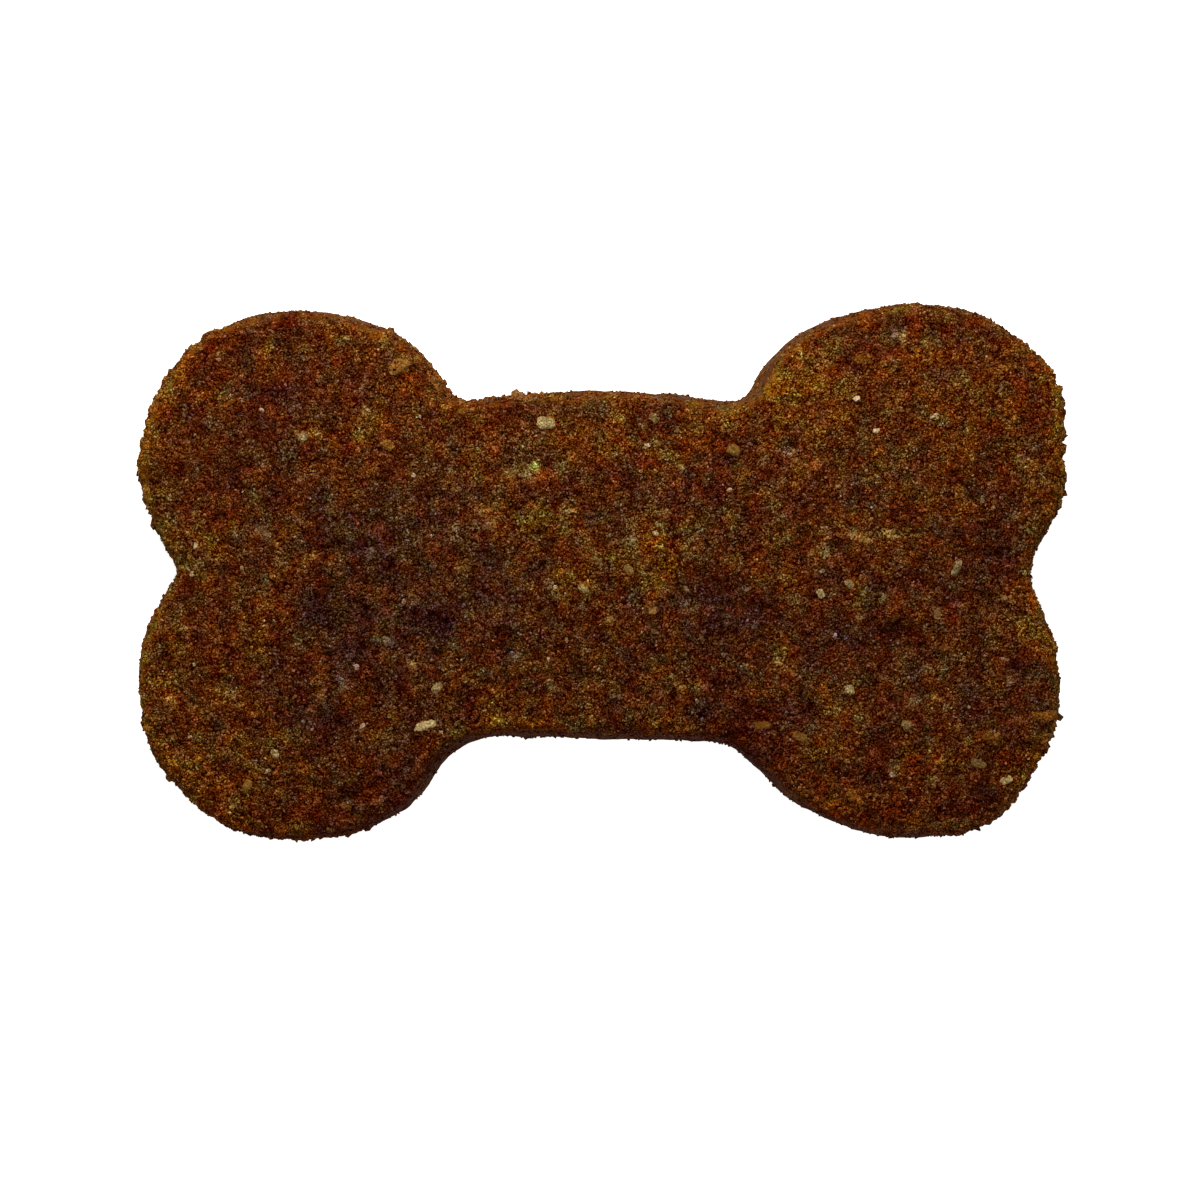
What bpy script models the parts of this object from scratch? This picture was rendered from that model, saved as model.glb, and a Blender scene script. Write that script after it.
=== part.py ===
"""Bone-shaped baked dog chew: one slab of coarse dough, with flakes and crumbs baked into its surface.

Run with: blender --background --python part.py
Metres, +Z up and +X along the bone. The chew lies flat on Z = 0, with the origin under its middle.
"""
import math
import random
from collections import namedtuple

import bmesh
import bpy
from mathutils import Matrix, Vector, noise
from mathutils.geometry import intersect_sphere_sphere_2d
from mathutils.kdtree import KDTree


def mm(*sizes):
    """Millimetres to metres: one size as a number, several as a tuple."""
    return sizes[0] / 1000 if len(sizes) == 1 else tuple(size / 1000 for size in sizes)


# Slab: a cut wall that leans in towards the top, a rounded shoulder and a slightly risen middle
SHOULDER_HEIGHT = mm(6.45)
SHOULDER_RADIUS = mm(1.1)
FOOT_RADIUS = mm(0.5)
WALL_LEAN = mm(0.5)
CROWN_RISE = mm(0.5)
CROWN_REACH = mm(6.5)
BASE_CUT = mm(0.12)

# Outline: four lobes as centre x, centre y and radius, uneven as the dough was cut
LOBES = {
    "right_back": mm(19.85, 7.45, 10.1),
    "left_back": mm(-19.25, 6.75, 10.3),
    "left_front": mm(-19.25, -7.0, 10.4),
    "right_front": mm(19.55, -7.4, 9.9),
}
# The long edges of the shank: y in the middle, slope, and the radius of their slight bow
SHANK_EDGES = {
    "shank_back": (mm(11.7), 0.0, mm(50)),
    "shank_front": (mm(-10.77), -0.028, mm(2000)),
}
# The outline runs counter-clockwise, each piece ending in an inside corner: its radius and a point near it
OUTLINE_CORNERS = {
    "right_back": (mm(1.5), mm(10, 12)),
    "shank_back": (mm(1.8), mm(-10, 12)),
    "left_back": (mm(0.5), mm(-30, 0)),
    "left_front": (mm(5.2), mm(-10, -12)),
    "shank_front": (mm(6.0), mm(10, -12)),
    "right_front": (mm(3.6), mm(30, 0)),
}
# Where a lobe is out of round: lobe, direction and half width in degrees, and how far it stands out
OUT_OF_ROUND = (
    ("left_back", 40, 30, mm(0.42)),
    ("left_back", 92, 30, mm(-0.18)),
    ("left_back", 160, 24, mm(-0.12)),
    ("left_back", 202, 25, mm(-0.20)),
    ("right_back", 0, 22, mm(-0.20)),
    ("right_back", 0, 5, mm(-0.35)),
    ("right_back", 30, 24, mm(0.40)),
    ("right_back", 95, 30, mm(-0.28)),
    ("right_back", 150, 40, mm(0.95)),
    ("left_front", 245, 24, mm(0.14)),
    ("left_front", 275, 22, mm(-0.20)),
    ("left_front", 312, 25, mm(0.28)),
    ("right_front", 35, 18, mm(0.25)),
    ("right_front", 210, 34, mm(0.80)),
    ("right_front", 262, 26, mm(-0.18)),
    ("right_front", 300, 20, mm(0.26)),
    ("right_front", 332, 20, mm(-0.18)),
)
OUT_OF_ROUND_REACH = mm(3)
OUTLINE_STEP = mm(0.6)

# Baked surface: broad swells under finer crags, each as height and span
SWELLS = mm(0.20, 7.0)
CRAGS = mm(0.30, 1.8)
WALL_CRAGS = 0.6
CALM_FOOT = mm(1.5)
# Lumps and pits of the top: x, y, height and reach
LUMPS = (
    mm(18.5, -2.5, 0.25, 2.2),
    mm(24.5, -10.4, 0.25, 1.3),
    mm(-16.6, 4.4, -0.25, 2.2),
    mm(11.4, -10.6, -0.30, 1.6),
    mm(-8.9, 1.0, 0.22, 1.6),
    mm(-21.3, 0.9, 0.20, 1.8),
)
# Cracks and creases of the top: start, end, depth and half width
CREASES = (
    mm(-17.5, -15.1, -14.4, -13.6, 0.60, 0.50),
    mm(-16.2, -13.7, -15.4, -15.7, 0.45, 0.40),
    mm(-10.8, -5.2, -7.3, -4.7, 0.35, 0.40),
    mm(5.2, -1.8, 10.0, -2.4, 0.35, 0.55),
    mm(17.3, -3.9, 20.0, -3.4, 0.45, 0.45),
    mm(15.7, 12.7, 16.9, 12.6, 0.35, 0.35),
    mm(11.2, 10.6, 13.4, 10.4, 0.35, 0.40),
    mm(22.7, 1.2, 25.7, 0.7, 0.40, 0.55),
    mm(12.4, 1.5, 20.3, 1.2, 0.22, 0.45),
    mm(18.2, -1.0, 22.0, -1.3, 0.22, 0.40),
)

# Bits that stand out, each in its own place: x, y, length and width, then its direction in degrees
FLAKES = (
    (mm(-11.1, -9.7, 1.50, 0.65), 18),
    (mm(-3.5, 9.3, 1.25, 0.90), -5),
    (mm(8.3, 7.6, 0.95, 0.85), -20),
    (mm(3.3, 9.6, 0.75, 0.60), 130),
    (mm(22.2, 0.2, 1.15, 0.60), 62),
    (mm(13.7, -1.4, 0.70, 0.60), 125),
    (mm(15.5, -0.8, 0.75, 0.55), 125),
    (mm(21.0, -2.7, 0.90, 0.60), 88),
    (mm(15.5, -7.4, 0.80, 0.70), 105),
    (mm(10.1, -9.7, 1.10, 0.65), 4),
    (mm(12.5, -10.4, 1.15, 0.70), -25),
    (mm(19.1, -9.6, 0.80, 0.65), -20),
    (mm(23.6, -12.1, 1.20, 0.65), -20),
    (mm(25.4, -13.1, 0.85, 0.60), 20),
    (mm(-10.3, -7.3, 0.80, 0.65), 50),
    (mm(-22.2, -13.4, 0.95, 0.65), 65),
    (mm(-18.7, 8.4, 0.75, 0.60), 12),
    (mm(-1.1, -1.1, 0.85, 0.55), -30),
    (mm(1.7, 0.1, 0.80, 0.60), -50),
)
NUBS = (
    (mm(-12.7, 12.8, 1.40, 1.10), 10),
    (mm(16.3, 13.3, 1.40, 1.00), 5),
    (mm(18.5, -2.5, 2.20, 1.20), 37),
    (mm(15.9, -14.2, 1.45, 0.80), -37),
    (mm(27.9, -9.1, 1.90, 0.80), 4),
    (mm(24.5, -10.4, 1.45, 1.05), -25),
    (mm(26.4, -4.3, 1.00, 0.70), -50),
    (mm(-16.0, -14.8, 0.90, 0.75), 5),
    (mm(-13.4, 8.0, 1.15, 0.75), -40),
    (mm(-8.7, 0.1, 1.10, 0.80), 22),
    (mm(0.6, -3.0, 1.10, 0.75), 22),
    (mm(3.1, -2.5, 1.00, 0.65), 7),
)
# Each kind's thickness as a share of its width, and how much of the thickness is sunk in the dough
FLAKE_SHAPE = (0.50, 0.48)
NUB_SHAPE = (0.65, 0.50)
# More crumbs are strewn over the top and along the torn stretches of the rim
STREWN_ON_TOP = 54
CRUMB_SIZE = mm(0.6, 1.0)
CRUMB_SLIMNESS = (0.7, 1.0)
TOP_SPACING = mm(2.2)
TOP_MARGIN = mm(1.6)
RIM_SPACING = mm(1.5)
RIM_BAND = mm(2.2, 5.9)
# Torn stretches of the rim: lobe, and from where to where around it in degrees
TORN_RIM = (
    ("right_back", -25, 50),
    ("left_back", 20, 60),
    ("left_back", 120, 205),
    ("left_front", 170, 215),
    ("left_front", 268, 300),
    ("right_front", -75, 25),
)
BIT_UNEVENNESS = 0.16
# How far a bit turns from the slope under it towards the ray that found its seat
BIT_SQUARENESS = 2
STREWING_SEED = 5
SHAPE_SEED = 11

# Fineness: the slab is remeshed in cells of this size, shaped, and thinned to this many triangles
REMESH_CELL = mm(0.45)
SLAB_TRIANGLES = 6000
SLIVER = mm(0.004)
SHARP_EDGE = math.radians(40)

CRUST_COLOUR = (0.075, 0.020, 0.005, 1)
CRUST_ROUGHNESS = 0.85

UP = Vector((0, 0, 1))
# A bit to bake in: the ray that finds its seat, its sizes and direction, and its kind's shape
Bit = namedtuple("Bit", "start toward length width turn shape")


def clear_scene():
    for item in list(bpy.data.objects):
        bpy.data.objects.remove(item, do_unlink=True)


def new_collection(name):
    collection = bpy.data.collections.new(name)
    bpy.context.scene.collection.children.link(collection)
    return collection


def smoothstep(share):
    share = min(max(share, 0.0), 1.0)
    return share * share * (3 - 2 * share)


def shank_circle(middle_y, slope, radius):
    """The large circle whose outermost arc is a long edge of the shank."""
    inward = Vector((slope, -1)).normalized() * math.copysign(radius, middle_y)
    return inward.x, middle_y + inward.y, radius


def heading(start, end):
    return math.atan2(end.y - start.y, end.x - start.x)


def arc_points(centre, radius, start, end):
    count = max(3, round(abs(end - start) * radius / OUTLINE_STEP))
    angles = [start + (end - start) * i / count for i in range(count)]
    return [centre + Vector((math.cos(a), math.sin(a))) * radius for a in angles]


def out_of_round(point):
    """A point of the outline, moved with the bulges and flats of the lobe that it lies on."""
    for lobe, direction, half_width, height in OUT_OF_ROUND:
        x, y, radius = LOBES[lobe]
        spoke = point - Vector((x, y))
        turn = math.degrees(math.atan2(spoke.y, spoke.x)) - direction
        aside = abs((turn + 180) % 360 - 180) / half_width
        beyond = abs(spoke.length - radius) / OUT_OF_ROUND_REACH
        if max(aside, beyond) < 1:
            fade = (math.cos(aside * math.pi / 2) * math.cos(beyond * math.pi / 2)) ** 2
            point = point + spoke.normalized() * height * fade
    return point


def outline_points():
    """The bone's outline, counter-clockwise: lobes and shank edges, run together by inside corners."""
    circles = dict(LOBES)
    circles.update({name: shank_circle(*edge) for name, edge in SHANK_EDGES.items()})
    arcs = [(Vector(circles[name][:2]), circles[name][2]) for name in OUTLINE_CORNERS]
    corners = []
    for i, (radius, near) in enumerate(OUTLINE_CORNERS.values()):
        (centre, reach), (next_centre, next_reach) = arcs[i], arcs[(i + 1) % len(arcs)]
        options = intersect_sphere_sphere_2d(centre, reach + radius, next_centre, next_reach + radius)
        corners.append((min(options, key=lambda p: (p - Vector(near)).length), radius))
    points = []
    for i, (centre, radius) in enumerate(arcs):
        corner, corner_radius = corners[i]
        start, end = heading(centre, corners[i - 1][0]), heading(centre, corner)
        points += arc_points(centre, radius, start, end + (math.tau if end < start else 0))
        start, end = heading(corner, centre), heading(corner, arcs[(i + 1) % len(arcs)][0])
        points += arc_points(corner, corner_radius, start, end - (math.tau if end > start else 0))
    return [out_of_round(point) for point in points]


def outward_directions(points):
    directions = []
    for i in range(len(points)):
        along = points[(i + 1) % len(points)] - points[i - 1]
        directions.append(Vector((along.y, -along.x)).normalized())
    return directions


class Rim:
    """The outline, asked how far a place is inside it."""

    def __init__(self, points):
        self.points = points
        self.directions = outward_directions(points)
        self.tree = KDTree(len(points))
        for i, point in enumerate(points):
            self.tree.insert(point.to_3d(), i)
        self.tree.balance()

    def depth(self, spot):
        """Distance in from the outline, negative outside it."""
        index, distance = self.tree.find(spot.to_3d())[1:]
        return -math.copysign(distance, (spot - self.points[index]).dot(self.directions[index]))


def wall_profile():
    """The cut wall from the foot up to the shoulder: how far in from the outline, and height."""
    turns = [math.radians(angle) for angle in (0, 30, 60, 90)]
    foot = [(FOOT_RADIUS * (1 - math.sin(a)), FOOT_RADIUS * (1 - math.cos(a))) for a in turns]
    shoulder = []
    for a in turns:
        inset = WALL_LEAN + SHOULDER_RADIUS * (1 - math.cos(a))
        shoulder.append((inset, SHOULDER_HEIGHT - SHOULDER_RADIUS * (1 - math.sin(a))))
    return foot + shoulder


def plain_slab(rim):
    """A disc pulled out to the outline, then drawn up ring by ring along the wall and closed."""
    slab = bmesh.new()
    ring = bmesh.ops.create_circle(slab, cap_ends=True, segments=len(rim.points), radius=1)["verts"]
    for step, (inset, height) in enumerate(wall_profile()):
        if step:
            drawn = bmesh.ops.extrude_edge_only(slab, edges=[e for e in slab.edges if e.is_boundary])["geom"]
            fresh = {v for v in drawn if isinstance(v, bmesh.types.BMVert)}
            ring = [next(e.other_vert(v) for e in v.link_edges if e.other_vert(v) in fresh) for v in ring]
        for vert, point, direction in zip(ring, rim.points, rim.directions):
            vert.co = (point - direction * inset).to_3d()
            vert.co.z = height
    bmesh.ops.contextual_create(slab, geom=[e for e in slab.edges if e.is_boundary])
    bmesh.ops.recalc_face_normals(slab, faces=slab.faces)
    return slab


def surface_rise(place, rim):
    """How far the top stands above the plain slab at a place: crown, swells, lumps and creases."""
    spot = place.xy
    inside = rim.depth(spot) - SHOULDER_RADIUS - WALL_LEAN
    rise = CROWN_RISE * smoothstep(inside / CROWN_REACH)
    rise += SWELLS[0] * noise.noise(place / SWELLS[1])
    for x, y, height, reach in LUMPS:
        rise += height * smoothstep(1 - math.dist(spot, (x, y)) / reach)
    for x0, y0, x1, y1, depth, half_width in CREASES:
        start, along = Vector((x0, y0)), Vector((x1 - x0, y1 - y0))
        share = min(max((spot - start).dot(along) / along.length_squared, 0), 1)
        rise -= depth * smoothstep(1 - (spot - start - along * share).length / half_width)
    return rise


def bake_surface(slab, rim):
    """Raises the slab's middle and makes its top craggy, and its wall less so, down to a calm foot."""
    slab.normal_update()
    moves = []
    for vert in slab.verts:
        place = vert.co
        on_top = smoothstep((place.z - SHOULDER_HEIGHT + SHOULDER_RADIUS) / SHOULDER_RADIUS)
        crag = CRAGS[0] * noise.fractal(place / CRAGS[1], 1.0, 2.0, 2)
        crag *= (WALL_CRAGS + (1 - WALL_CRAGS) * on_top) * smoothstep(place.z / CALM_FOOT)
        rise = surface_rise(place, rim) * on_top if on_top else 0
        moves.append(vert.normal * crag + Vector((0, 0, rise)))
    for vert, move in zip(slab.verts, moves):
        vert.co += move


def flatten_base(slab):
    """Cuts the underside off level at the foot, and closes it on Z = 0."""
    geometry = slab.verts[:] + slab.edges[:] + slab.faces[:]
    level = (0, 0, BASE_CUT)
    bmesh.ops.bisect_plane(slab, geom=geometry, plane_co=level, plane_no=(0, 0, 1), clear_inner=True)
    bmesh.ops.triangle_fill(slab, use_beauty=True, edges=[e for e in slab.edges if e.is_boundary])
    bmesh.ops.translate(slab, verts=slab.verts, vec=(0, 0, -BASE_CUT))
    bmesh.ops.recalc_face_normals(slab, faces=slab.faces)


def mesh_object(name, shape, collection):
    """An object with a bmesh's shape, whose working copy is freed."""
    mesh = bpy.data.meshes.new(name)
    shape.to_mesh(mesh)
    shape.free()
    thing = bpy.data.objects.new(name, mesh)
    collection.objects.link(thing)
    return thing


def edit_mesh(thing, change, *details):
    shape = bmesh.new()
    shape.from_mesh(thing.data)
    change(shape, *details)
    shape.to_mesh(thing.data)
    shape.free()


def apply_modifiers(thing):
    bpy.context.view_layer.update()
    evaluated = thing.evaluated_get(bpy.context.evaluated_depsgraph_get())
    plain, thing.data = thing.data, bpy.data.meshes.new_from_object(evaluated)
    thing.modifiers.clear()
    bpy.data.meshes.remove(plain)


def make_slab(rim, collection):
    """The baked slab without its bits, thinned to its triangle budget."""
    slab = mesh_object("dog_chew", plain_slab(rim), collection)
    remesh = slab.modifiers.new("even_cells", "REMESH")
    remesh.mode = "VOXEL"
    remesh.voxel_size = REMESH_CELL
    apply_modifiers(slab)
    edit_mesh(slab, bake_surface, rim)
    thin = slab.modifiers.new("thin_out", "DECIMATE")
    thin.ratio = SLAB_TRIANGLES / (2 * len(slab.data.polygons))
    apply_modifiers(slab)
    edit_mesh(slab, flatten_base)
    return slab


def bit_on_top(spot, *looks):
    return Bit(spot.to_3d() + 2 * SHOULDER_HEIGHT * UP, -UP, *looks)


def crumb_looks(draw):
    size = draw.uniform(*CRUMB_SIZE)
    return size, size * draw.uniform(*CRUMB_SLIMNESS), draw.uniform(0, math.pi), NUB_SHAPE


def bits_on_top(rim, draw):
    """The bits that have places of their own, and crumbs spread evenly between them, clear of the rim."""
    spots, bits = [], []
    for kind, shape in ((FLAKES, FLAKE_SHAPE), (NUBS, NUB_SHAPE)):
        for (x, y, length, width), turn in kind:
            spots.append(Vector((x, y)))
            bits.append(bit_on_top(spots[-1], length, width, math.radians(turn), shape))
    reach = [max(abs(point[axis]) for point in rim.points) for axis in (0, 1)]
    wanted = len(bits) + STREWN_ON_TOP
    while len(bits) < wanted:
        spot = Vector([draw.uniform(-side, side) for side in reach])
        if rim.depth(spot) > TOP_MARGIN and all((spot - other).length > TOP_SPACING for other in spots):
            spots.append(spot)
            bits.append(bit_on_top(spot, *crumb_looks(draw)))
    return bits


def bits_on_rim(draw):
    """Crumbs along the torn stretches of the rim, at odd heights of the wall."""
    bits = []
    for lobe, first, last in TORN_RIM:
        x, y, radius = LOBES[lobe]
        count = round(math.radians(last - first) * radius / RIM_SPACING)
        for i in range(count):
            angle = math.radians(first + (last - first) * (i + draw.random()) / count)
            facing = Vector((math.cos(angle), math.sin(angle), 0))
            level = Vector((x, y, draw.uniform(*RIM_BAND)))
            bits.append(Bit(level + 2 * radius * facing, -facing, *crumb_looks(draw)))
    return bits


def bake_in(slab, bit, collection, draw):
    """One bit, partly sunk where its ray meets the slab, as an uneven ball stretched to its size."""
    hit, spot, normal = slab.ray_cast(bit.start, bit.toward)[:3]
    if not hit:
        raise ValueError("no dough under a bit")
    flatness, sunk = bit.shape
    thickness = bit.width * flatness
    facing = (normal - BIT_SQUARENESS * bit.toward).normalized()
    ball = bmesh.new()
    bmesh.ops.create_icosphere(ball, subdivisions=1, radius=0.5)
    for vert in ball.verts:
        vert.co *= draw.uniform(1 - BIT_UNEVENNESS, 1 + BIT_UNEVENNESS)
    seat = Matrix.Translation(spot + facing * thickness * (0.5 - sunk))
    seat @= UP.rotation_difference(facing).to_matrix().to_4x4()
    seat @= Matrix.Rotation(bit.turn, 4, "Z") @ Matrix.Diagonal((bit.length, bit.width, thickness, 1))
    bmesh.ops.transform(ball, matrix=seat, verts=ball.verts)
    mesh_object("bit", ball, collection)


def keep_one_body(shape):
    """Drops what the join left loose or sealed inside, and its slivers, so that one closed body stays."""
    bmesh.ops.dissolve_degenerate(shape, dist=SLIVER, edges=shape.edges)
    bmesh.ops.triangulate(shape, faces=shape.faces)
    unseen, bodies = set(shape.verts), []
    while unseen:
        body, edge = set(), {unseen.pop()}
        while edge:
            body |= edge
            edge = {e.other_vert(v) for v in edge for e in v.link_edges} - body
        unseen -= body
        bodies.append(body)
    bodies.sort(key=len)
    for scrap in bodies[:-1]:
        bmesh.ops.delete(shape, geom=list(scrap), context="VERTS")


def fuse(slab, bits):
    """Joins the bits to the slab in one union, and removes them."""
    union = slab.modifiers.new("baked_in", "BOOLEAN")
    union.operation = "UNION"
    union.operand_type = "COLLECTION"
    union.collection = bits
    union.solver = "EXACT"
    apply_modifiers(slab)
    for bit in list(bits.objects):
        bpy.data.objects.remove(bit, do_unlink=True)
    bpy.data.collections.remove(bits)
    edit_mesh(slab, keep_one_body)


def centre_on_origin(shape):
    """Sets the middle of the underside on the origin."""
    low, high = (Vector([side(v.co[axis] for v in shape.verts) for axis in range(3)]) for side in (min, max))
    bmesh.ops.translate(shape, verts=shape.verts, vec=(-(low.x + high.x) / 2, -(low.y + high.y) / 2, -low.z))


def crust_material():
    """Browned dough: dark red-brown and dull."""
    crust = bpy.data.materials.new("baked_dough")
    crust.use_nodes = True
    shader = crust.node_tree.nodes["Principled BSDF"]
    shader.inputs["Base Color"].default_value = CRUST_COLOUR
    shader.inputs["Roughness"].default_value = CRUST_ROUGHNESS
    shader.inputs["Metallic"].default_value = 0
    crust.diffuse_color = CRUST_COLOUR
    return crust


def main():
    clear_scene()
    collection = new_collection("dog_chew")
    rim = Rim(outline_points())
    slab = make_slab(rim, collection)
    strewing, shaping = random.Random(STREWING_SEED), random.Random(SHAPE_SEED)
    bits = new_collection("baked_in_bits")
    bpy.context.view_layer.update()
    for bit in bits_on_top(rim, strewing) + bits_on_rim(strewing):
        bake_in(slab, bit, bits, shaping)
    fuse(slab, bits)
    edit_mesh(slab, centre_on_origin)
    slab.data.shade_smooth()
    slab.data.set_sharp_from_angle(angle=SHARP_EDGE)
    slab.data.materials.append(crust_material())


main()
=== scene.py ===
import math

import bmesh
import bpy
import numpy as np
from mathutils import Matrix, Vector, noise
from mathutils.bvhtree import BVHTree
from mathutils.kdtree import KDTree


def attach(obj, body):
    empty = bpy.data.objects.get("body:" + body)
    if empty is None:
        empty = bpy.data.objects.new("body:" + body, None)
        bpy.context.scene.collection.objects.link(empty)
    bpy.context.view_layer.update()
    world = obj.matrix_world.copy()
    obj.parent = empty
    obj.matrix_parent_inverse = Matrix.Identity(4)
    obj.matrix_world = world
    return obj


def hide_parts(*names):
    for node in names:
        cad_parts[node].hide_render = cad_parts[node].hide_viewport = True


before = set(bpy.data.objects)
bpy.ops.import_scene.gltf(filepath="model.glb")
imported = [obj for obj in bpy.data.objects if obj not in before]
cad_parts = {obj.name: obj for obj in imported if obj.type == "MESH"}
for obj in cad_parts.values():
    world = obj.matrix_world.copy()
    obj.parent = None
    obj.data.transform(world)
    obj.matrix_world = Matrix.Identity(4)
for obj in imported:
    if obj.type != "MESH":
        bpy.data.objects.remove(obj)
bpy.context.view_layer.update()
print("frame loaded")

# Bone-shaped baked chew, seen from straight above: coarse dough under thousands of rusty and olive crumbs


def mm(*sizes):
    return sizes[0] / 1000 if len(sizes) == 1 else tuple(size / 1000 for size in sizes)


def hexLinear(code):
    # an sRGB hex colour as the linear one that the shaders take
    parts = [int(code[i:i + 2], 16) / 255 for i in (1, 3, 5)]
    return [p / 12.92 if p <= 0.04045 else ((p + 0.055) / 1.055) ** 2.4 for p in parts] + [1]


def smoothstep(share):
    share = min(max(share, 0.0), 1.0)
    return share * share * (3 - 2 * share)


# Camera, lights and floor

shot = {
    "height": mm(205),              # above the floor, straight down
    "over": mm(-0.1, -1.8),
    "lens": 95,
    "clip": mm(10, 4000),
    "floorSize": mm(1500),
    "floorColour": "#f4f3f0",
    "floorGlow": 1.0,               # lights the shadow on the floor away, as a light table does
    "worldColour": "#ffffff",
    "worldStrength": 0.17,
    "keyPlace": mm(-15, 100, 90),
    "keySize": mm(100),
    "keyPower": 0.28,
    "keyColour": "#fff8ee",
    "fillPlace": mm(60, -90, 160),
    "fillSize": mm(160),
    "fillPower": 0.07,
    "fillColour": "#f4f6ff",
}

scene = bpy.context.scene
cameraData = bpy.data.cameras.new("cameraAbove")
cameraData.lens = shot["lens"]
cameraData.clip_start, cameraData.clip_end = shot["clip"]
camera = bpy.data.objects.new("cameraAbove", cameraData)
camera.location = (*shot["over"], shot["height"])
scene.collection.objects.link(camera)
scene.camera = camera
scene.view_settings.view_transform = "Standard"


def softLight(name, place, size, power, colour):
    lamp = bpy.data.lights.new(name, "AREA")
    lamp.shape = "DISK"
    lamp.size = size
    lamp.energy = power
    lamp.color = hexLinear(colour)[:3]
    thing = bpy.data.objects.new(name, lamp)
    thing.location = place
    thing.rotation_euler = (-Vector(place)).to_track_quat("-Z", "Y").to_euler()
    scene.collection.objects.link(thing)


softLight("keyLight", shot["keyPlace"], shot["keySize"], shot["keyPower"], shot["keyColour"])
softLight("fillLight", shot["fillPlace"], shot["fillSize"], shot["fillPower"], shot["fillColour"])
world = bpy.data.worlds.new("softRoom")
world.use_nodes = True
world.node_tree.nodes["Background"].inputs["Color"].default_value = hexLinear(shot["worldColour"])
world.node_tree.nodes["Background"].inputs["Strength"].default_value = shot["worldStrength"]
scene.world = world


# Nodes: one helper adds any of them

def addNode(tree, kind, settings=(), links=()):
    # settings and links are given by the name or the identifier of a setting or an input
    node = tree.nodes.new("ShaderNode" + kind)
    for name, value in dict(settings).items():
        if name == "stops":
            ramp = node.color_ramp
            while len(ramp.elements) < len(value):
                ramp.elements.new(1)
            for element, (place, colour) in zip(ramp.elements, value):
                element.position = place
                element.color = hexLinear(colour)
        elif hasattr(node, name):
            setattr(node, name, value)
        else:
            findInput(node, name).default_value = value
    for name, socket in dict(links).items():
        tree.links.new(socket, findInput(node, name))
    return node


def findInput(node, name):
    return next(socket for socket in node.inputs if name in (socket.identifier, socket.name))


def newMaterial(name):
    material = bpy.data.materials.new(name)
    material.use_nodes = True
    tree = material.node_tree
    shader = tree.nodes["Principled BSDF"]
    return material, tree, shader


def plainFloor():
    material, _, shader = newMaterial("mattePaperFloor")
    shader.inputs["Base Color"].default_value = hexLinear(shot["floorColour"])
    shader.inputs["Roughness"].default_value = 1
    shader.inputs["Specular IOR Level"].default_value = 0
    shader.inputs["Emission Color"].default_value = hexLinear(shot["floorColour"])
    shader.inputs["Emission Strength"].default_value = shot["floorGlow"]
    shape = bmesh.new()
    bmesh.ops.create_grid(shape, x_segments=1, y_segments=1, size=shot["floorSize"])
    mesh = bpy.data.meshes.new("floor")
    shape.to_mesh(mesh)
    shape.free()
    floor = bpy.data.objects.new("floor", mesh)
    mesh.materials.append(material)
    scene.collection.objects.link(floor)


plainFloor()
print("camera, lights and floor made")


# The dough: the CAD solid's own form, remeshed evenly so that it can carry finer relief

dough = {
    "cell": mm(0.227),
    "smoothing": (3, 0.5),          # rounds and factor
    "baseLevel": mm(0.06),          # what lies lower than this belongs to the flat underside
    "calmHeight": mm(0.8),          # over which the relief grows from that level up
    "grit": mm(0.075, 0.85),        # relief as height and span
    "gritOctaves": (1.0, 2.0, 2),   # dimension, lacunarity and number
    "pebbles": mm(0.060, 0.50),
    "pebbleReach": 0.45,            # how far from its middle a pebble stands out, as a share of the span
    "gritShares": (0.7, 0.3),       # of grit and pebbles: everywhere, and more on the top
    "swell": mm(0.05, 2.6),
    "dragMarks": mm(0.035, 0.55, 5.0),   # of the cutter down the wall: depth, width and length
    "basePits": mm(0.22, 1.5),
    "pitShape": (0.25, 0.7),        # noise above the first is a pit, rounded by the second as a power
    "baseGrain": mm(0.05, 0.6),
    "stillMove": mm(0.004),         # what moves less on the underside lies on the ground
    "wallTop": mm(4.6),
    "crumbLevel": mm(0.4),          # no crumb sits lower than this on the wall
}

# How the top changes from front to back: where each half starts and over how much, in mm, then the steps of
# shade and of rust: all over, more towards the back and more towards the front. The shade is partly painted
# light:
# lighter towards the back, where the light comes from, and lifted at the front against the light's falloff
topDrift = {
    "front": (-6, 10), "back": (-16, 32),
    "shade": (-0.85, 0.67, 0.50), "rust": (0.55, 0.97, 1.45),
}

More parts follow.
